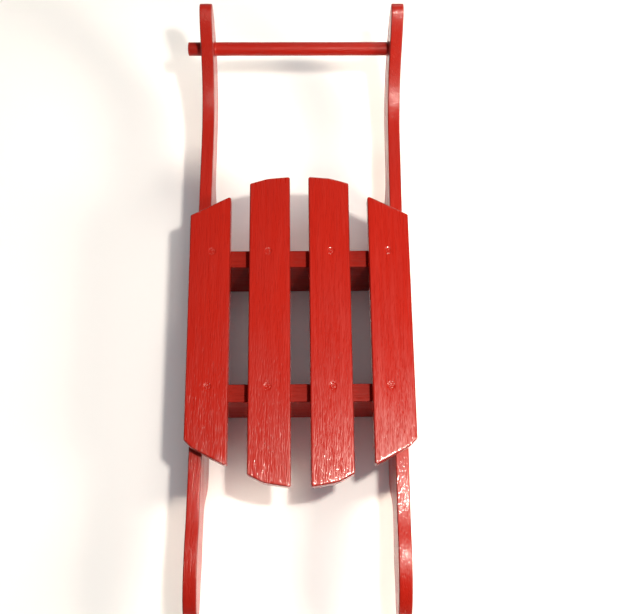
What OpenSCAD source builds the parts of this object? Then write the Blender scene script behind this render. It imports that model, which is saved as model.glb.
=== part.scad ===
// A slatted wooden sled: two shaped runner boards on edge, two cross braces between them,
// four seat slats on top and a round crossbar through the horns at the front.
// +X is the sled's right, +Y its front and +Z up. The origin is on the ground,
// midway between the runners and midway along them. All sizes are in millimetres.

/* [Runners] */
// Length of a runner, from its tail to the tip of its horn
runner_length = 838; // [780:1:1000]
// Thickness of a runner board
runner_thickness = 18; // [16:0.5:24]
// Depth of a runner ahead of the seat and behind it
neck_depth = 58; // [50:1:70]
// Length of the flat sole that the sled stands on
sole_length = 380; // [300:1:440]
// Length of the curve at each end of the sole
shoulder_length = 60; // [40:1:70]
// How far the horn reaches back from its tip
horn_reach = 179; // [150:1:210]
// Height of the horn's tip above the runner's straight top
horn_height = 96; // [70:1:120]
// Rounding of the horn's tip
tip_round = 15; // [8:1:22]
// Length of the raised tail
tail_length = 143; // [120:1:165]
// How far the tail rises above the runner's straight top
tail_rise = 6.5; // [0:0.5:12]
// How far the runners' outer faces stand in from the seat's edges at mid length
runner_inset = 7.5; // [4:0.5:20]
// Angle at which the runners stand out of square with the seat, their horns to the right
runner_skew = 0.7; // [-1:0.05:1]

/* [Seat] */
// Width over the outer slats
seat_width = 305; // [280:1:370]
// Length of the seat at its middle
seat_length = 437; // [400:1:520]
// How far the seat's middle lies behind the runners' middle
seat_setback = 38; // [20:1:50]
// Width of a slat
slat_width = 57; // [45:0.5:66]
// Thickness of a slat
slat_thickness = 19; // [15:0.5:25]
// How far an inner slat's front end falls back towards its outer corner
front_inner_drop = 10.5; // [2:0.5:20]
// How far back an outer slat's front end starts
front_outer_start = 29.5; // [21:0.5:40]
// How far back an outer slat's front end finishes
front_outer_drop = 58.5; // [42:0.5:75]
// How far an inner slat's rear end falls forward towards its outer corner
rear_inner_drop = 17; // [8:0.5:24]
// How far forward an outer slat's rear end starts
rear_outer_start = 27; // [25:0.5:36]
// How far forward an outer slat's rear end finishes
rear_outer_drop = 52; // [38:0.5:60]
// Cut across an outer slat's rear outside corner
rear_corner_cut = 10; // [5:0.5:14]
// Rounding of the slats' corners
corner_round = 3; // [1:0.5:4]

/* [Braces] */
// Height of a cross brace
brace_height = 104; // [90:1:120]
// Thickness of a cross brace
brace_thickness = 25; // [19:0.5:30]
// Gap between the braces and the ground
ground_gap = 3; // [1:0.5:10]
// Distance of the front brace ahead of the seat's middle
front_brace_place = 100.5; // [60:0.5:115]
// Distance of the rear brace behind the seat's middle
rear_brace_place = 91; // [60:0.5:110]

/* [Crossbar] */
// Diameter of the crossbar
bar_diameter = 20; // [12:0.5:25]
// How far the crossbar stands out of the left horn
bar_stub = 21; // [0:0.5:30]
// Clearance all round between the crossbar and its holes
bar_clearance = 0.1; // [0.05:0.05:0.3]

/* [Screws] */
// Diameter of a screw's shank
screw_diameter = 4; // [3:0.1:5]
// Diameter of a screw's head
head_diameter = 8; // [6:0.1:9]
// Depth of the screws' heads below the wood
head_sink = 0.6; // [0.2:0.1:1.5]
// Length of a slat screw
slat_screw_length = 40; // [30:1:60]
// Length of a runner screw
runner_screw_length = 50; // [32:1:64]
// How far the slat screws sit ahead of the braces' middle lines
slat_screw_shift = 5; // [0:0.5:6]
// How far the inner slats' screws sit outside those slats' middle lines
inner_screw_shift = 2; // [0:0.5:8]
// Distance of the outer slats' screws from the ends of the braces
outer_screw_edge = 5.5; // [5:0.5:20]
// Height of the lower runner screws above the braces' lower edges
lower_screw_height = 25; // [15:1:30]
// Height of the upper runner screws above the braces' lower edges
upper_screw_height = 60; // [45:1:62]
// Clearance all round a screw
screw_clearance = 0.1; // [0.05:0.05:0.3]

/* [Hidden] */
$fn = 48;
paint_red = [0.78, 0.13, 0.09];
runner_red = [0.70, 0.13, 0.09];
curve_steps = 24;
corner_steps = 6;
drive_width = 1.2;
drive_depth = 1.5;
overcut = 1;

deck_z = ground_gap + brace_height;
seat_top_z = deck_z + slat_thickness;
neck_z = deck_z - neck_depth;

front_y = runner_length / 2;
rear_y = -runner_length / 2;
seat_y = -seat_setback;
seat_front_y = seat_y + seat_length / 2;
seat_rear_y = seat_y - seat_length / 2;

runner_x = seat_width / 2 - runner_inset - runner_thickness / 2;
slat_gap = (seat_width - 4 * slat_width) / 3;
inner_slat_x = slat_gap / 2;
outer_slat_x = seat_width / 2 - slat_width;

brace_ys = [seat_y + front_brace_place, seat_y - rear_brace_place];
inner_screw_x = inner_slat_x + slat_width / 2 + inner_screw_shift;
runner_screw_zs = [ground_gap + lower_screw_height, ground_gap + upper_screw_height];
head_height = (head_diameter - screw_diameter) / 2;

// Cubic curves: a point on one, and a run of points along one without its last point
function curve_point(c, t) =
    pow(1 - t, 3) * c[0] + 3 * t * pow(1 - t, 2) * c[1] + 3 * t * t * (1 - t) * c[2] + pow(t, 3) * c[3];
function curve(c, steps) = [for (i = [0:steps - 1]) curve_point(c, i / steps)];
function ease(from, to) =
    let (middle = (from.x + to.x) / 2) [from, [middle, from.y], [middle, to.y], to];

// The runner's outline, as Y and Z, from the horn's top edge round the tip to the tail
horn_top = [
    [front_y - horn_reach, deck_z],
    [front_y - horn_reach * 0.37, deck_z],
    [front_y - horn_reach * 0.31, deck_z + horn_height * 0.83],
    [front_y - tip_round, deck_z + horn_height]
];
horn_tip = [
    [front_y - tip_round, deck_z + horn_height],
    [front_y - tip_round * 0.45, deck_z + horn_height + tip_round * 0.2],
    [front_y, deck_z + horn_height - tip_round * 0.3],
    [front_y, deck_z + horn_height - tip_round]
];
horn_under = [
    [front_y, deck_z + horn_height - tip_round],
    [front_y - horn_reach * 0.02, deck_z + horn_height * 0.19],
    [front_y - horn_reach * 0.3, neck_z],
    [front_y - horn_reach * 0.72, neck_z]
];
front_shoulder = ease([seat_y + sole_length / 2 + shoulder_length, neck_z], [seat_y + sole_length / 2, 0]);
rear_shoulder = ease([seat_y - sole_length / 2, 0], [seat_y - sole_length / 2 - shoulder_length, neck_z]);
tail_base = neck_z + tail_rise;
tail_middle = (tail_base + deck_z) / 2 - tail_rise / 2;
tail_lift = ease([rear_y + tail_length * 0.6, neck_z], [rear_y + tail_length * 0.25, tail_base]);
tail_under = [
    [rear_y + tail_length * 0.25, tail_base],
    [rear_y + tail_length * 0.1, tail_base],
    [rear_y, tail_base + neck_depth * 0.1],
    [rear_y, tail_middle]
];
tail_top = [
    [rear_y, tail_middle],
    [rear_y, deck_z - neck_depth * 0.19],
    [rear_y + tail_length * 0.19, deck_z + tail_rise],
    [rear_y + tail_length * 0.47, deck_z + tail_rise]
];
tail_fall = ease([rear_y + tail_length * 0.47, deck_z + tail_rise], [rear_y + tail_length, deck_z]);
runner_outline = [
    each curve(horn_top, curve_steps),
    each curve(horn_tip, corner_steps),
    each curve(horn_under, curve_steps),
    each curve(front_shoulder, curve_steps / 2),
    [seat_y + sole_length / 2, 0],
    each curve(rear_shoulder, curve_steps / 2),
    [seat_y - sole_length / 2 - shoulder_length, neck_z],
    each curve(tail_lift, curve_steps / 2),
    each curve(tail_under, curve_steps / 2),
    each curve(tail_top, curve_steps / 2),
    each curve(tail_fall, curve_steps / 2),
    [rear_y + tail_length, deck_z]
];

// The crossbar runs through the middle of each horn
bar_centre = (curve_point(horn_top, 0.665) + curve_point(horn_under, 0.42)) / 2;

// Where a runner's inner or outer face stands at a given Y: side is 1 for the right and -1 for the left
function inner_face_x(side, y) = side * (runner_x - runner_thickness / 2 / cos(runner_skew)) + y * tan(runner_skew);
function outer_face_x(side, y) = side * (runner_x + runner_thickness / 2 / cos(runner_skew)) + y * tan(runner_skew);

// A polygon's corners, each given as [x, y, radius], rounded by arcs
function unit(v) = v / norm(v);
function flat(p) = [p.x, p.y];
function rounded_corner(before, corner, after) =
    let (
        p = flat(corner),
        r = corner[2],
        a = unit(flat(before) - p),
        b = unit(flat(after) - p),
        half = acos(a * b) / 2,
        centre = p + unit(a + b) * r / sin(half),
        start = p + a * r / tan(half) - centre,
        end = p + b * r / tan(half) - centre,
        from = atan2(start.y, start.x),
        turn = (atan2(end.y, end.x) - from + 540) % 360 - 180
    )
    [for (i = [0:corner_steps]) centre + r * [cos(from + turn * i / corner_steps), sin(from + turn * i / corner_steps)]];
function rounded(corners) =
    let (n = len(corners))
    [for (i = [0:n - 1]) each rounded_corner(corners[(i + n - 1) % n], corners[i], corners[(i + 1) % n])];

inner_slat_outline = rounded([
    [inner_slat_x, seat_front_y, corner_round],
    [inner_slat_x + slat_width * 0.55, seat_front_y - front_inner_drop * 0.25, slat_width],
    [inner_slat_x + slat_width, seat_front_y - front_inner_drop, corner_round],
    [inner_slat_x + slat_width, seat_rear_y + rear_inner_drop, corner_round],
    [inner_slat_x + slat_width * 0.62, seat_rear_y + rear_inner_drop * 0.33, slat_width * 0.7],
    [inner_slat_x, seat_rear_y, corner_round]
]);
outer_slat_outline = rounded([
    [outer_slat_x, seat_front_y - front_outer_start, corner_round],
    [seat_width / 2, seat_front_y - front_outer_drop, corner_round],
    [seat_width / 2, seat_rear_y + rear_outer_drop + rear_corner_cut, corner_round],
    [seat_width / 2 - rear_corner_cut, seat_rear_y + rear_outer_drop, corner_round],
    [outer_slat_x, seat_rear_y + rear_outer_start, corner_round]
]);

// A countersunk wood screw, pointing down, with the top of its head at the origin
module screw(length) {
    difference() {
        union() {
            translate([0, 0, -head_height]) cylinder(d1 = screw_diameter, d2 = head_diameter, h = head_height);
            translate([0, 0, -length + screw_diameter])
                cylinder(d = screw_diameter, h = length - screw_diameter - head_height);
            translate([0, 0, -length]) cylinder(d1 = screw_diameter * 0.1, d2 = screw_diameter, h = screw_diameter);
        }
        for (turn = [0, 90]) rotate(turn)
            translate([-head_diameter * 0.3, -drive_width / 2, -drive_depth])
                cube([head_diameter * 0.6, drive_width, drive_depth + overcut]);
    }
}

// The hole that such a screw sits in, with its mouth at the wood's surface
module screw_hole(length) {
    hole_diameter = screw_diameter + 2 * screw_clearance;
    mouth_diameter = head_diameter + 2 * screw_clearance;
    translate([0, 0, -head_sink - head_height])
        cylinder(d1 = hole_diameter, d2 = mouth_diameter, h = head_height);
    translate([0, 0, -head_sink]) cylinder(d = mouth_diameter, h = head_sink + overcut);
    translate([0, 0, -head_sink - length - screw_clearance])
        cylinder(d = hole_diameter, h = length + screw_clearance - head_height / 2);
}

// The places of a slat's two screws: row is 0 for an inner slat and 1 for an outer one
module at_slat_screws(side, row) {
    for (brace_y = brace_ys) {
        y = brace_y + slat_screw_shift;
        x = row == 0 ? side * inner_screw_x : inner_face_x(side, y) - side * outer_screw_edge;
        translate([x, y, seat_top_z]) children();
    }
}

// A runner's own place, with the origin in the middle of its thickness
module at_runner(side) {
    translate([side * runner_x, 0, 0]) rotate(-runner_skew) children();
}

// The places of the two screws that hold one end of a brace, their heads facing outwards
module at_runner_screws(side, brace) {
    for (z = runner_screw_zs) at_runner(side)
        translate([side * runner_thickness / 2, brace_ys[brace], z]) rotate([0, side * 90, 0]) children();
}

module runner(side) {
    color(runner_red) difference() {
        at_runner(side) rotate([90, 0, 90])
            linear_extrude(height = runner_thickness, center = true) polygon(runner_outline);
        translate([side * runner_x + bar_centre.x * tan(runner_skew), bar_centre.x, bar_centre.y])
            rotate([0, 90, 0])
            cylinder(d = bar_diameter + 2 * bar_clearance, h = runner_thickness + 4 * overcut, center = true);
        for (brace = [0, 1]) at_runner_screws(side, brace) screw_hole(runner_screw_length);
    }
}

module brace(number) {
    rear = brace_ys[number] - brace_thickness / 2;
    front = rear + brace_thickness;
    color(paint_red) difference() {
        translate([0, 0, ground_gap]) linear_extrude(height = brace_height) polygon([
            [inner_face_x(-1, rear), rear], [inner_face_x(1, rear), rear],
            [inner_face_x(1, front), front], [inner_face_x(-1, front), front]
        ]);
        for (side = [-1, 1]) {
            at_runner_screws(side, number) screw_hole(runner_screw_length);
            for (row = [0, 1]) at_slat_screws(side, row) screw_hole(slat_screw_length);
        }
    }
}

module slat(side, row) {
    outline = row == 0 ? inner_slat_outline : outer_slat_outline;
    color(paint_red) difference() {
        translate([0, 0, deck_z]) linear_extrude(height = slat_thickness)
            polygon([for (p = outline) [side * p.x, p.y]]);
        at_slat_screws(side, row) screw_hole(slat_screw_length);
    }
}

// The crossbar stands out of the left horn and ends flush with the right one
module crossbar() {
    left = outer_face_x(-1, bar_centre.x) - bar_stub;
    right = outer_face_x(1, bar_centre.x);
    color(paint_red) translate([left, bar_centre.x, bar_centre.y]) rotate([0, 90, 0])
        cylinder(d = bar_diameter, h = right - left);
}

module slat_screws(side, row) {
    color(paint_red) at_slat_screws(side, row) translate([0, 0, -head_sink]) screw(slat_screw_length);
}

module runner_screws(side, brace) {
    color(runner_red) at_runner_screws(side, brace) translate([0, 0, -head_sink]) screw(runner_screw_length);
}

runner(-1);  // left_runner
runner(1);  // right_runner
brace(0);  // front_brace
brace(1);  // rear_brace
crossbar();
slat(-1, 1);  // outer_left_slat
slat(-1, 0);  // inner_left_slat
slat(1, 0);  // inner_right_slat
slat(1, 1);  // outer_right_slat
slat_screws(-1, 1);  // outer_left_slat_screws
slat_screws(-1, 0);  // inner_left_slat_screws
slat_screws(1, 0);  // inner_right_slat_screws
slat_screws(1, 1);  // outer_right_slat_screws
runner_screws(-1, 0);  // front_left_brace_screws
runner_screws(1, 0);  // front_right_brace_screws
runner_screws(-1, 1);  // rear_left_brace_screws
runner_screws(1, 1);  // rear_right_brace_screws
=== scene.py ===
import math

import bmesh
import bpy
from mathutils import Matrix, Vector, geometry, noise


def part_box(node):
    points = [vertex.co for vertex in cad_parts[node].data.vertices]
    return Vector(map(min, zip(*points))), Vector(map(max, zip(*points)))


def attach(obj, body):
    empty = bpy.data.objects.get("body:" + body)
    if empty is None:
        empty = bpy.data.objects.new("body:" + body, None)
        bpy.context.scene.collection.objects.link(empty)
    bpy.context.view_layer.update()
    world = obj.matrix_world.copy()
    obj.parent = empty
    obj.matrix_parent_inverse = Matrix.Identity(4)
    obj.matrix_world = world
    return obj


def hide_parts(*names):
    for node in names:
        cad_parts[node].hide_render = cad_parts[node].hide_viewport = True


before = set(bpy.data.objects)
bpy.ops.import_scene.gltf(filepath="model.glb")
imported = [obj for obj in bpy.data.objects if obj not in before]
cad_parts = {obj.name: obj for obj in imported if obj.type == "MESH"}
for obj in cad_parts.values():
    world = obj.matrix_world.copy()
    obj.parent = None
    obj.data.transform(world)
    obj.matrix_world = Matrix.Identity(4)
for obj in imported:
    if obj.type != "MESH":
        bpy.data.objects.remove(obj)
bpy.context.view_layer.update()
scene = bpy.context.scene
up = Vector((0, 0, 1))
print("frame loaded")


# Camera, looking steeply down along the sled from behind it

cameraSettings = {
    "place": (-0.00192, -0.4135, 1.3585),
    "tilt": 17.957,  # degrees away from straight down, towards the horns
    "roll": 2.001,
    "turn": -2.433,
    "lens": 55.3,
}


def addCamera(values):
    camera = bpy.data.objects.new("camera", bpy.data.cameras.new("camera"))
    camera.data.lens = values["lens"]
    camera.data.sensor_width = 36
    camera.data.clip_end = 50
    turn = Matrix.Rotation(math.radians(values["turn"]), 4, "Z")
    tilt = Matrix.Rotation(math.radians(values["tilt"]), 4, "X")
    roll = Matrix.Rotation(math.radians(values["roll"]), 4, "Z")
    camera.matrix_world = Matrix.Translation(values["place"]) @ turn @ tilt @ roll
    scene.collection.objects.link(camera)
    scene.camera = camera


addCamera(cameraSettings)
print("camera placed")


# Floor and lights

studio = {
    "floorSize": 30.0,
    "floorColour": (0.86, 0.86, 0.86),
    "floorRoughness": 0.7,
    "skyColour": (1.0, 0.93, 0.86),
    "skyStrength": 0.12,
    "lamps": {
        # place, size, power and colour of each
        "frontLamp": ((0.45, 1.75, 1.4), 0.5, 8.0, (1.0, 0.91, 0.80)),
        "sideLamp": ((1.1, -0.3, 0.8), 0.5, 14.0, (1.0, 0.84, 0.68)),
        "rearLamp": ((0.33, -0.15, 1.4), 0.1, 15.0, (1.0, 0.91, 0.80)),
        "floorLamp": ((0.0, 0.0, 6.0), 6.0, 142.0, (0.90, 0.96, 1.0)),
    },
    "lampTarget": (0, -0.04, 0.12),  # every lamp points at the middle of the seat
}


def addFloor(values):
    mesh = bpy.data.meshes.new("floor")
    half = values["floorSize"] / 2
    corners = [(-half, -half, 0), (half, -half, 0), (half, half, 0), (-half, half, 0)]
    mesh.from_pydata(corners, [], [(0, 1, 2, 3)])
    floor = bpy.data.objects.new("floor", mesh)
    scene.collection.objects.link(floor)
    material = bpy.data.materials.new("paleFloor")
    material.use_nodes = True
    shader = material.node_tree.nodes["Principled BSDF"]
    shader.inputs["Base Color"].default_value = (*values["floorColour"], 1)
    shader.inputs["Roughness"].default_value = values["floorRoughness"]
    mesh.materials.append(material)
    return floor


def addLights(values, floor):
    world = bpy.data.worlds.new("studio")
    world.use_nodes = True
    background = world.node_tree.nodes["Background"]
    background.inputs["Color"].default_value = (*values["skyColour"], 1)
    background.inputs["Strength"].default_value = values["skyStrength"]
    scene.world = world
    for name, (place, size, power, colour) in values["lamps"].items():
        lamp = bpy.data.lights.new(name, "AREA")
        lamp.shape = "DISK"
        lamp.size = size
        lamp.energy = power
        lamp.color = colour
        lampObject = bpy.data.objects.new(name, lamp)
        lampObject.location = place
        aim = Vector(values["lampTarget"]) - Vector(place)
        lampObject.rotation_euler = aim.to_track_quat("-Z", "Y").to_euler()
        scene.collection.objects.link(lampObject)
    # the floor lamp lights the floor alone, so that it stays pale under a deep red
    floorOnly = bpy.data.collections.new("floorOnly")
    floorOnly.objects.link(floor)
    bpy.data.objects["floorLamp"].light_linking.receiver_collection = floorOnly
    scene.view_settings.view_transform = "Standard"


addLights(studio, addFloor(studio))
print("floor and lights made")


# Red gloss enamel, brushed along the grain of an open-grained wood

enamel = {
    "red": (0.43, 0.0105, 0.0030),
    "deepRed": (0.38, 0.0080, 0.0024),
    "paleRed": (0.46, 0.0135, 0.0042),
    # the darkest red is painted shade, laid along the rounded arrises
    "arrisShadeRed": (0.14, 0.0035, 0.0018),
    "gloss": 0.24,  # roughness where the paint lies smoothest
    "dullGloss": 0.34,  # and where it is dullest
    "shine": 0.35,
    "coat": 0.6,
    "coatGloss": 0.07,
    "bend": (6.0, 0.002),  # how closely and how far the streaks wander
    "patches": (0.035, 0.11),  # width and length of the uneven patches, in metres
    "brush": (0.005, 0.10, 0.00010),  # width, length and height of the brush marks
    "grain": (0.0017, 0.030, 0.00009),
    "speckle": (0.0014, 0.010, 0.00009),
    "pores": (0.0013, 0.019, 0.00016),
    "poreEdges": (0.54, 0.70),  # how much of the pattern counts as a pore
    # how much deeper the pores are coloured: the grain's own tone, with painted shade in the grooves
    "poreDarkness": 0.5,
}
# the runners are rougher to the touch, and the braces and the crossbar have one thin coat; the braces'
# darker reds are painted shade, as they stand in the seat's shade
runnerEnamel = {
    **enamel,
    "gloss": 0.3,
    "dullGloss": 0.44,
    "coat": 0.35,
    "speckle": (0.0015, 0.0045, 0.00015),
}
shadedBraceEnamel = {
    **enamel,
    # painted shade: reds darker than the slats', for the braces' shaded faces
    "red": (0.33, 0.012, 0.0050),
    "deepRed": (0.24, 0.0080, 0.0030),
    "paleRed": (0.36, 0.020, 0.010),
    "gloss": 0.4,
    "dullGloss": 0.55,
    "shine": 0.12,
    "coat": 0.0,
}
crossbarEnamel = {
    **enamel,
    "gloss": 0.36,
    "dullGloss": 0.5,
    "shine": 0.3,
    "coat": 0.1,
}


class Nodes:
    # adds and joins a material's nodes in few words
    def __init__(self, material):
        material.use_nodes = True
        self.tree = material.node_tree
        self.shader = self.tree.nodes["Principled BSDF"]

    def add(self, kind, settings=None, **inputs):
        node = self.tree.nodes.new("ShaderNode" + kind)
        for name, value in (settings or {}).items():
            setattr(node, name, value)
        for name, value in inputs.items():
            self.put(node, name.replace("_", " "), value)
        return node

    def put(self, node, name, value):
        socket = node.inputs[int(name)] if name.isdigit() else node.inputs[name]
        if isinstance(value, bpy.types.NodeSocket):
            self.tree.links.new(value, socket)
        else:
            socket.default_value = value

    def maths(self, operation, first, second=0.0):
        node = self.add("Math", {"operation": operation})
        self.put(node, "0", first)
        self.put(node, "1", second)
        return node.outputs[0]

    def ramp(self, value, low, high, lowResult=0.0, highResult=1.0):
        node = self.add("MapRange", {"interpolation_type": "SMOOTHSTEP"}, Value=value)
        self.put(node, "From Min", low)
        self.put(node, "From Max", high)
        self.put(node, "To Min", lowResult)
        self.put(node, "To Max", highResult)
        return node.outputs["Result"]

    def blend(self, amount, first, second):
        node = self.add("Mix", {"data_type": "RGBA"})
        self.put(node, "0", amount)
        self.put(node, "6", first)
        self.put(node, "7", second)
        return node.outputs[2]

    def streaks(self, place, along, width, length, detail):
        # noise drawn out along one axis, so that it runs with the grain
        scale = [1 / width] * 3
        scale[along] = 1 / length
        stretched = self.add("Mapping", Vector=place, Scale=scale)
        pattern = self.add("TexNoise", Vector=stretched.outputs[0], Scale=1.0, Detail=detail, Roughness=0.5)
        return pattern.outputs["Fac"]


def enamelMaterial(name, along, seed, values=enamel):
    material = bpy.data.materials.new(name)
    nodes = Nodes(material)
    coordinates = nodes.add("TexCoord").outputs["Object"]
    shifted = nodes.add("Mapping", Vector=coordinates, Location=(seed * 3.1, seed * 7.3, seed)).outputs[0]
    bendScale, bendReach = values["bend"]
    bend = nodes.add("TexNoise", Vector=shifted, Scale=bendScale, Detail=1.0).outputs["Color"]
    bend = nodes.add("VectorMath", {"operation": "SCALE"}, Vector=bend, Scale=bendReach).outputs[0]
    bent = nodes.add("VectorMath", {"operation": "ADD"})
    nodes.put(bent, "0", shifted)
    nodes.put(bent, "1", bend)
    place = bent.outputs[0]
    brush = nodes.streaks(place, along, *values["brush"][:2], 2.0)
    grain = nodes.streaks(place, along, *values["grain"][:2], 1.0)
    pores = nodes.streaks(place, along, *values["pores"][:2], 1.0)
    patches = nodes.streaks(place, along, *values["patches"], 2.0)
    speckle = nodes.streaks(place, along, *values["speckle"][:2], 1.0)

    # colour: deeper in patches, deeper in the pores (the grain's own tone and painted shade in those
    # grooves), paler on brush marks, and darkest along the arrises, which is painted shade on every rounded
    # edge
    tones = ("red", "deepRed", "paleRed", "arrisShadeRed")
    red, deepRed, paleRed, arrisShadeRed = ((*values[tone], 1) for tone in tones)
    colour = nodes.blend(nodes.ramp(patches, 0.3, 0.72, 0.0, 0.5), red, deepRed)
    colour = nodes.blend(nodes.ramp(brush, 0.45, 0.8, 0.0, 0.5), colour, paleRed)
    # the pores are deeper in colour: the grain's own tone, with painted shade in the grooves
    poreLines = nodes.ramp(pores, *values["poreEdges"])
    colour = nodes.blend(nodes.maths("MULTIPLY", poreLines, values["poreDarkness"]), colour, deepRed)
    # painted shade: the rounded arrises are darkened in colour
    arris = nodes.add("Attribute", {"attribute_name": "arris"}).outputs["Fac"]
    paintedEdgeShade = nodes.maths("MULTIPLY", arris, nodes.ramp(patches, 0.25, 0.7, 0.9, 0.5))
    colour = nodes.blend(paintedEdgeShade, colour, arrisShadeRed)
    nodes.put(nodes.shader, "Base Color", colour)

    dullBrush = nodes.maths("MULTIPLY", brush, 0.5)
    dullPatches = nodes.maths("MULTIPLY", patches, 0.5)
    dullness = nodes.maths("ADD", dullBrush, dullPatches)
    gloss = nodes.ramp(dullness, 0.35, 0.68, values["gloss"], values["dullGloss"])
    nodes.put(nodes.shader, "Roughness", gloss)
    nodes.put(nodes.shader, "Specular IOR Level", values["shine"])
    nodes.put(nodes.shader, "Coat Weight", values["coat"])
    nodes.put(nodes.shader, "Coat Roughness", values["coatGloss"])

    height = nodes.maths("MULTIPLY", brush, values["brush"][2] * 2)
    height = nodes.maths("ADD", height, nodes.maths("MULTIPLY", grain, values["grain"][2] * 2))
    height = nodes.maths("ADD", height, nodes.maths("MULTIPLY", speckle, values["speckle"][2] * 2))
    height = nodes.maths("SUBTRACT", height, nodes.maths("MULTIPLY", poreLines, values["pores"][2]))
    bump = nodes.add("Bump", Height=height, Strength=1.0, Distance=1.0).outputs[0]
    nodes.put(nodes.shader, "Normal", bump)
    nodes.put(nodes.shader, "Coat Normal", bump)
    return material


# Shapes read from the frame

right = Vector((1, 0, 0))
ahead = Vector((0, 1, 0))
facing = 0.9995  # how squarely a face must look in a direction to count as its flat face
nearby = 1e-5  # metres


def cleanCopy(node):
    bm = bmesh.new()
    bm.from_mesh(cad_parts[node].data)
    bmesh.ops.remove_doubles(bm, verts=bm.verts, dist=1e-6)
    bm.normal_update()
    return bm


def reach(node, direction):
    # how far the node goes back and forward in that direction
    places = [v.co.dot(direction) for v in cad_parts[node].data.vertices]
    return min(places), max(places)


def faceOutline(node, direction):
    # the outer edge of the flat face that looks in that direction, as a ring of points
    bm = cleanCopy(node)
    highest = reach(node, direction)[1]
    outermost = [f for f in bm.faces if f.calc_center_median().dot(direction) > highest - nearby]
    faces = [f for f in outermost if f.normal.dot(direction) > facing]  # a list, so that the order is fixed
    faceSet = set(faces)
    follow = {}
    for face in faces:
        for loop in face.loops:
            if sum(f in faceSet for f in loop.edge.link_faces) == 1:
                follow[loop.vert.index] = loop.link_loop_next.vert.index
    points = {v.index: v.co.copy() for v in bm.verts}
    bm.free()
    rings = []
    while follow:
        start, current = follow.popitem()
        ring = [points[start]]
        while current != start:
            ring.append(points[current])
            current = follow.pop(current)
        rings.append(ring)
    return max(rings, key=lambda ring: sum((a - b).length for a, b in zip(ring, ring[1:] + ring[:1])))


def sideways(node):
    # the way that the node's upright right-hand face looks
    faces = [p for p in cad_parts[node].data.polygons if p.normal.x > 0.99]
    return sum((p.normal * p.area for p in faces), Vector()).normalized()


def screwPlaces(node, axis):
    # for each of the node's screws, the middle of its head's top, the head's radius and the screw's length
    bm = cleanCopy(node)
    left = set(bm.verts)
    places = []
    while left:
        stack = [left.pop()]
        found = []
        while stack:
            vert = stack.pop()
            found.append(vert)
            for other in (e.other_vert(vert) for e in vert.link_edges):
                if other in left:
                    left.remove(other)
                    stack.append(other)
        top = max(v.co.dot(axis) for v in found)
        length = top - min(v.co.dot(axis) for v in found)
        rim = [v.co for v in found if v.co.dot(axis) > top - nearby]
        low = Vector([min(p[i] for p in rim) for i in range(3)])
        high = Vector([max(p[i] for p in rim) for i in range(3)])
        centre = (low + high) / 2
        places.append((centre, max((p - centre).length for p in rim), length))
    bm.free()
    return sorted(places, key=lambda place: tuple(place[0]))


# Boards: an outline given eased edges, a fine skin of faces and a hand-made unevenness

boardSettings = {
    "arrisSteps": 5,
    "across": 0.0013,  # spacing of the points across the grain
    "alongGrain": 0.004,
    "sideStep": 0.0016,
    "gridMargin": 0.3,  # gap between the outline and the grid, as a share of a grid step
    "quickCoarseness": 2.5,
    "sharpestCorner": 0.4,  # least squareness at which a corner is still drawn in fully
    "wave": 0.00016,  # height of the hand-made unevenness
    "waveScales": (18, 45),
    "waveShares": (0.7, 0.3),
    "ridge": 0.00003,  # height of the fine ridges along the grain
    "ridgeScales": (60, 420),  # along and across the grain
    "headRoom": 0.00018,  # how far the skin lies under the true face
    "dishStep": 0.00035,  # spacing of the round rings
    "dishSpread": 1.3,  # how far the rings go on, as a share of the dish's lip
    "dishMargin": 0.0004,
    "dishTurns": 36,
    "boreTurns": 60,
    "boreRings": 3,
    "skin": 0.003,  # how near the face a point must lie to sink into a dish
}


def insetRing(ring, direction, distance, values=boardSettings):
    # the ring drawn in by the distance, with its corners kept square
    moved = []
    for i, point in enumerate(ring):
        before = (point - ring[i - 1]).normalized()
        after = (ring[(i + 1) % len(ring)] - point).normalized()
        inward = direction.cross(before + after).normalized()
        squareness = max(values["sharpestCorner"], inward.dot(direction.cross(before)))
        moved.append(point + inward * distance / squareness)
    return moved


def denserRing(ring, grainAxis, values):
    # the ring with more points along its edges, closer together across the grain
    points = []
    for i, point in enumerate(ring):
        run = point - ring[i - 1]
        along = run.dot(grainAxis)
        across = (run - grainAxis * along).length
        count = max(1, round(math.hypot(along / values["alongGrain"], across / values["across"])))
        points += [ring[i - 1] + run * (j + 1) / count for j in range(count)]
    return points


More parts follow.
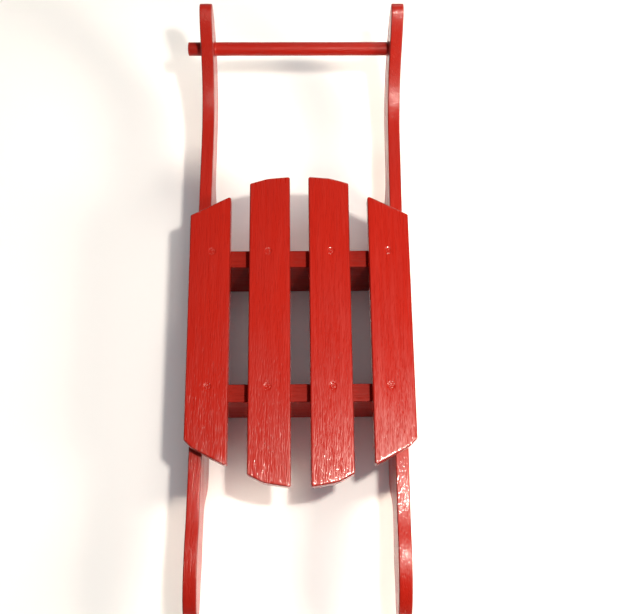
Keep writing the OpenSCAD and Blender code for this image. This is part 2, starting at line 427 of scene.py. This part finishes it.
def capFaces(points, ringIndices, direction, grainAxis, dishes, holes, values):
    # fills the ring with a fine grid and with round rings at each dish and hole
    # adds the new points, and returns the faces and the rim of each hole
    crossAxis = direction.cross(grainAxis)
    level = points[ringIndices[0]].dot(direction)
    coarse = 1
    stepU, stepV = values["alongGrain"] * coarse, values["across"] * coarse
    border = [points[i] for i in ringIndices]
    flat = [Vector((p.dot(grainAxis) / stepU, p.dot(crossAxis) / stepV)) for p in border]
    lowU = min(p.x for p in flat)
    lowV = min(p.y for p in flat)
    highV = max(p.y for p in flat)

    def place(u, v):
        return grainAxis * (u * stepU) + crossAxis * (v * stepV) + direction * level

    def circle(x, y, radius, turns, phase):
        angles = [math.tau * (j + phase) / turns for j in range(turns)]
        return [Vector(((x + radius * math.cos(angle)) / stepU, (y + radius * math.sin(angle)) / stepV))
                for angle in angles]

    spread = [(centre.dot(grainAxis), centre.dot(crossAxis), radius + lip * values["dishSpread"])
              for centre, radius, lip, depth in dishes]
    bores = [(centre.dot(grainAxis), centre.dot(crossAxis), radius) for centre, radius in holes]
    taken = spread + [(x, y, radius + values["dishStep"] * values["boreRings"]) for x, y, radius in bores]
    inside = []
    edges = list(zip(flat, flat[1:] + flat[:1]))
    for row in range(1, int(highV - lowV) + 1):
        v = lowV + row
        crossed = [(a, b) for a, b in edges if (a.y > v) != (b.y > v)]
        crossings = sorted(a.x + (b.x - a.x) * (v - a.y) / (b.y - a.y) for a, b in crossed)
        for first, last in zip(crossings[::2], crossings[1::2]):
            margin = values["gridMargin"]
            for column in range(math.ceil(first - lowU + margin), math.floor(last - lowU - margin) + 1):
                u = lowU + column
                away = [math.hypot(u * stepU - x, v * stepV - y) - size for x, y, size in taken]
                if all(distance > values["dishMargin"] for distance in away):
                    inside.append(Vector((u, v)))
    for x, y, size in spread:
        rings = int(size / values["dishStep"])
        for i in range(rings + 1):
            radius = size * i / rings
            turns = 1 if i == 0 else min(values["dishTurns"], 6 * i)
            inside += circle(x, y, radius, turns, i % 2 / 2)
    rimStarts = []
    for x, y, radius in bores:
        rimStarts.append(len(flat) + len(inside))
        for i in range(values["boreRings"] + 1):
            inside += circle(x, y, radius + values["dishStep"] * i, values["boreTurns"], i % 2 / 2)
    count = len(flat)
    filled = geometry.delaunay_2d_cdt(flat + inside, [], [list(range(count))], 1, 1e-7)
    indices = []
    made = {}
    for vert, sources in zip(filled[0], filled[3]):
        if sources and sources[0] < count:
            indices.append(ringIndices[sources[0]])
        else:
            indices.append(len(points))
            points.append(place(vert.x, vert.y))
        made.update((source, indices[-1]) for source in sources)
    faces = [[indices[i] for i in face] for face in filled[2]]
    rims = [[made[start + j] for j in range(values["boreTurns"])] for start in rimStarts]
    for rim in rims:
        faces = [face for face in faces if not set(face) <= set(rim)]
    return faces, rims


def boardShape(ring, direction, thickness, arris, grainAxis, dishes=(), holes=(), values=boardSettings):
    # a closed board behind the ring; direction is the way its front face looks
    steps = values["arrisSteps"]
    eased = [math.pi / 2 * i / steps for i in range(steps + 1)]
    profile = [(arris * (1 - math.sin(angle)), arris * (1 - math.cos(angle))) for angle in eased]
    sideHeight = thickness - 2 * arris
    sideSteps = max(2, round(sideHeight / values["sideStep"]))
    back = [(inset, thickness - depth) for inset, depth in reversed(profile)]
    profile += [(0, arris + sideHeight * i / sideSteps) for i in range(1, sideSteps)] + back
    ring = denserRing(ring, grainAxis, values)
    count = len(ring)
    points = []
    for inset, depth in profile:
        points += [point - direction * depth for point in insetRing(ring, direction, inset)]
    # how far each point lies into an arris, which the enamel darkens as painted shade
    edge = [math.sin(math.pi * i / steps) for i in range(steps + 1)]
    edge = [edgeShadeShare for row in edge + [0] * (sideSteps - 1) + edge for edgeShadeShare in [row] * count]
    faces = []
    for row in range(len(profile) - 1):
        top, low = row * count, (row + 1) * count
        neighbours = [((i - 1) % count, i) for i in range(count)]
        faces += [(top + i, low + i, low + j, top + j) for i, j in neighbours]
    front, frontRims = capFaces(points, list(range(count)), direction, grainAxis, dishes, holes, values)
    last = (len(profile) - 1) * count
    backRing = list(range(last, last + count))
    back, backRims = capFaces(points, backRing, direction, grainAxis, (), holes, values)
    faces += front + [face[::-1] for face in back]
    for top, low in zip(frontRims, backRims):
        faces += [(top[j - 1], top[j], low[j], low[j - 1]) for j in range(len(top))]
    return points, faces, edge + [0] * (len(points) - len(edge))


def unevenness(point, grainIndex, seed, values=boardSettings):
    # how far the hand-worked skin stands off the true face at this point
    shifted = point + Vector((seed, seed * 1.7, -seed))
    broad, fine = (noise.noise(shifted * scale) for scale in values["waveScales"])
    broadShare, fineShare = values["waveShares"]
    wave = broad * broadShare + fine * fineShare
    along, across = values["ridgeScales"]
    drawnOut = Vector([c * (along if i == grainIndex else across) for i, c in enumerate(shifted)])
    return values["wave"] * wave + values["ridge"] * noise.noise(drawnOut) - values["headRoom"]


def dishDrop(point, direction, dishes, values=boardSettings):
    # how far the point sinks into the dish around a screw or the bar's end
    drop = 0
    for centre, radius, lip, depth in dishes:
        offset = point - centre
        height = offset.dot(direction)
        distance = (offset - direction * height).length
        if abs(height) < values["skin"] and distance < radius + lip:
            share = max(0, (distance - radius) / lip)
            drop += depth * (1 - share * share * (3 - 2 * share))
    return direction * -drop


def addPiece(name, shape, material, node, grainIndex=0, seed=0, direction=up, dishes=()):
    # a piece with a seed gets the unevenness; screws have none, and stay true
    points, faces, edge = shape
    mesh = bpy.data.meshes.new(name)
    mesh.from_pydata(points, [], faces)
    mesh.update()
    mesh.attributes.new("arris", "FLOAT", "POINT").data.foreach_set("value", edge)
    if seed:
        moves = [v.normal * unevenness(v.co, grainIndex, seed) + dishDrop(v.co, direction, dishes)
                 for v in mesh.vertices]
        for vert, move in zip(mesh.vertices, moves):
            vert.co += move
    mesh.shade_smooth()
    mesh.materials.append(material)
    piece = bpy.data.objects.new(name, mesh)
    scene.collection.objects.link(piece)
    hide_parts(node)
    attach(piece, "root")


# Screws: countersunk heads below the wood, filled and rounded by paint

screwSettings = {
    "turns": 40,  # faces round a head
    "headEdge": 0.0008,
    "slotWidth": 0.0007,
    "slotDepth": 0.00045,
    "slotReach": 0.6,  # share of the head's radius
    "slotTurn": 0.55,  # how far the slot turns from one screw to the next, in radians
    "shank": 0.5,  # share of the head's radius
    "threadPitch": 0.0016,
    "threadSteps": 5,  # rings in one pitch
    "threadDepth": 0.0004,
    "tip": 0.004,
    "fill": 0.0002,  # paint over the head
}
dishSettings = {
    "lip": 0.002,
    "tuck": 0.0003,  # how far the dish starts inside the head's edge
    "frontDepth": 0.00048,
    "rearDepth": 0.00062,
}


def screwDishes(places, values=dishSettings):
    # the shallow dishes that painted screws leave in the wood: middle, radius, lip and depth
    return [(centre, radius - values["tuck"], values["lip"],
             values["frontDepth"] if centre.y > 0 else values["rearDepth"])
            for centre, radius, length in places]


def screwProfile(radius, length, values):
    # radius and depth of each ring: the head, its rounded rim, its cone, the thread and the point
    shank = radius * values["shank"]
    cone = radius - shank
    edge = values["headEdge"]
    profile = [(radius * i / 10, 0) for i in range(1, 9)]
    profile += [(radius - edge * (1 - math.sin(a)), -edge * (1 - math.cos(a)))
                for a in (math.pi / 8 * i for i in range(5))]
    profile += [(radius - cone * i / 3, -edge - (cone - edge) * i / 3) for i in range(1, 4)]
    threadStep = values["threadPitch"] / values["threadSteps"]
    threadCount = int((length - values["tip"] - cone) / threadStep)
    profile += [(shank, -cone - threadStep * i) for i in range(1, threadCount)]
    return profile + [(shank * (1 - i / 5), -length + values["tip"] * (1 - i / 5)) for i in range(5)]


def screwShape(places, axis, spin, values=screwSettings):
    # every screw of one node: head with a filled cross slot, threaded shank and point
    points, faces = [], []
    across = axis.orthogonal().normalized()
    beside = axis.cross(across)
    turns = values["turns"]
    for number, (centre, radius, length) in enumerate(places):
        twist = spin + number * values["slotTurn"]
        threadTop = -radius * (1 - values["shank"])
        profile = screwProfile(radius, length, values)
        first = len(points)
        for ring, depth in profile:
            for j in range(turns):
                angle = math.tau * j / turns
                size, height = ring, depth
                if depth == 0:
                    x, y = abs(ring * math.cos(angle + twist)), abs(ring * math.sin(angle + twist))
                    arm = min(x, y) / values["slotWidth"]
                    slotEnd = max(x, y) / (radius * values["slotReach"])
                    height = values["fill"] * (1 - (ring / radius) ** 2)
                    height -= values["slotDepth"] * math.exp(-arm ** 2 * 1.5 - slotEnd ** 6)
                elif values["tip"] - length < depth < threadTop:
                    phase = (depth / values["threadPitch"] + j / turns) % 1
                    size -= values["threadDepth"] * (1 - abs(2 * phase - 1)) ** 2
                outward = across * math.cos(angle) + beside * math.sin(angle)
                points.append(centre + outward * size + axis * height)
        for row in range(len(profile) - 1):
            top, low = first + row * turns, first + (row + 1) * turns
            neighbours = [(j, (j + 1) % turns) for j in range(turns)]
            faces += [(low + i, low + j, top + j, top + i) for i, j in neighbours]
        last = first + (len(profile) - 1) * turns
        points += [centre + axis * (values["fill"] - values["slotDepth"]), centre - axis * length]
        faces += [(len(points) - 2, first + j, first + (j + 1) % turns) for j in range(turns)]
        faces += [(len(points) - 1, last + (j + 1) % turns, last + j) for j in range(turns)]
    return points, faces, [0] * len(points)


def makeScrews(name, node, axis, seed):
    material = enamelMaterial(name + "Paint", 1, seed + 0.5)
    addPiece(name, screwShape(screwPlaces(node, axis), axis, seed * 0.9), material, node)


# Seat slats

slatSettings = {"arris": 0.002}


def makeSlat(name, node, seed, values=slatSettings):
    low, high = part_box(node)
    dishes = screwDishes(screwPlaces(node + "_screws", up))
    shape = boardShape(faceOutline(node, up), up, high.z - low.z, values["arris"], ahead, dishes)
    material = enamelMaterial(name + "Paint", 1, seed)
    addPiece(name + "Board", shape, material, node, 1, seed, up, dishes)
    makeScrews(name + "Screws", node + "_screws", up, seed)


for number, (side, row) in enumerate((s, r) for s in ("left", "right") for r in ("outer", "inner")):
    makeSlat(f"{row}{side.capitalize()}Slat", f"{row}_{side}_slat", number + 1)
print("slats made")


# Runners, each a shaped board on edge

runnerSettings = {"arris": 0.0018, "barLip": 0.0008, "barDepth": 0.0009}


def makeRunner(side, sign, seed, values=runnerSettings):
    node = side + "_runner"
    outward = sideways(node) * sign
    back, front = reach(node, outward)
    screwNodes = [f"{end}_{side}_brace_screws" for end in ("front", "rear")]
    dishes = screwDishes([place for name in screwNodes for place in screwPlaces(name, outward)])
    barLow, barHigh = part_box("crossbar")
    barEnd = Vector((barHigh.x, (barLow.y + barHigh.y) / 2, (barLow.z + barHigh.z) / 2))
    barRadius = (barHigh.z - barLow.z) / 2
    middle = barEnd + right * (((front + back) / 2 - barEnd.dot(outward)) / outward.x)
    barHole = (middle, barRadius)
    ring = faceOutline(node, outward)
    shape = boardShape(ring, outward, front - back, values["arris"], up.cross(outward), dishes, [barHole])
    if sign > 0:  # the bar ends flush in the right runner, in a shallow ring
        dishes.append((barEnd, barRadius, values["barLip"], values["barDepth"]))
    material = enamelMaterial(side + "RunnerPaint", 1, seed, runnerEnamel)
    addPiece(side + "RunnerBoard", shape, material, node, 1, seed, outward, dishes)
    for end, name in zip(("Front", "Rear"), screwNodes):
        makeScrews(f"{side}{end}RunnerScrews", name, outward, seed + len(end))


makeRunner("left", -1, 11)
makeRunner("right", 1, 12)
print("runners made")


# Cross braces

braceSettings = {"arris": 0.0012}  # less than boardSettings' across, or the square corners fold


def makeBrace(end, seed, values=braceSettings):
    node = end + "_brace"
    low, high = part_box(node)
    shape = boardShape(faceOutline(node, up), up, high.z - low.z, values["arris"], right)
    material = enamelMaterial(end + "BracePaint", 0, seed, shadedBraceEnamel)
    addPiece(end + "BraceBoard", shape, material, node, 0, seed)


makeBrace("front", 21)
makeBrace("rear", 22)
print("braces made")


# Crossbar, a dowel through both horns with paint filling its joints

crossbarSettings = {
    "turns": 60,
    "step": 0.002,
    "endEase": 0.0018,
    "fillet": 0.0022,
    "filletSteps": 6,
    "tuck": 0.0004,  # how far a fillet starts inside the runner
}


def makeCrossbar(seed, values=crossbarSettings):
    low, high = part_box("crossbar")
    middle = (low + high) / 2
    radius = (high.z - low.z) / 2
    ease, fillet = values["endEase"], values["fillet"]
    joints = []
    for side, ways in (("left", (-1, 1)), ("right", (-1,))):
        normal = sideways(side + "_runner")
        for way, level in zip(ways, reach(side + "_runner", normal)):
            joints.append(((level - normal.y * middle.y) / normal.x, way))
    ends = [ease * (1 - math.cos(math.pi / 16 * i)) for i in range(9)]
    steps = range(values["filletSteps"] + 1)
    count = round((high.x - low.x - 2 * ease) / values["step"])
    places = {low.x + x for x in ends} | {high.x - x for x in ends}
    places |= {face + way * fillet * i / values["filletSteps"] for face, way in joints for i in steps}
    places |= {face - way * values["tuck"] for face, way in joints}
    places |= {low.x + ease + (high.x - low.x - 2 * ease) * i / count for i in range(1, count)}
    places = sorted(places)

    def ringRadius(x):
        size = radius
        fromEnd = min(x - low.x, high.x - x)
        if fromEnd < ease:
            size -= ease - math.sqrt(max(0, ease ** 2 - (ease - fromEnd) ** 2))
        for face, way in joints:
            away = (x - face) * way
            if 0 <= away < fillet:
                size += fillet - math.sqrt(fillet ** 2 - (fillet - away) ** 2)
        return size

    endShares = (0.25, 0.5, 0.75)
    rings = [(places[0], ringRadius(places[0]) * share) for share in endShares]
    rings += [(x, ringRadius(x)) for x in places]
    rings += [(places[-1], ringRadius(places[-1]) * share) for share in reversed(endShares)]
    turns = values["turns"]
    points = [Vector((x, middle.y + size * math.sin(a), middle.z + size * math.cos(a)))
              for x, size in rings for a in (math.tau * j / turns for j in range(turns))]
    faces = []
    for row in range(len(rings) - 1):
        first, last = row * turns, (row + 1) * turns
        neighbours = [(j, (j + 1) % turns) for j in range(turns)]
        faces += [(first + i, last + i, last + j, first + j) for i, j in neighbours]
    faces += [tuple(range(turns)), tuple(range((len(rings) - 1) * turns, len(rings) * turns))[::-1]]
    shape = (points, faces, [0] * len(points))
    material = enamelMaterial("crossbarPaint", 0, seed, crossbarEnamel)
    addPiece("crossbarDowel", shape, material, "crossbar", 0, seed)


makeCrossbar(31)
print("crossbar made")
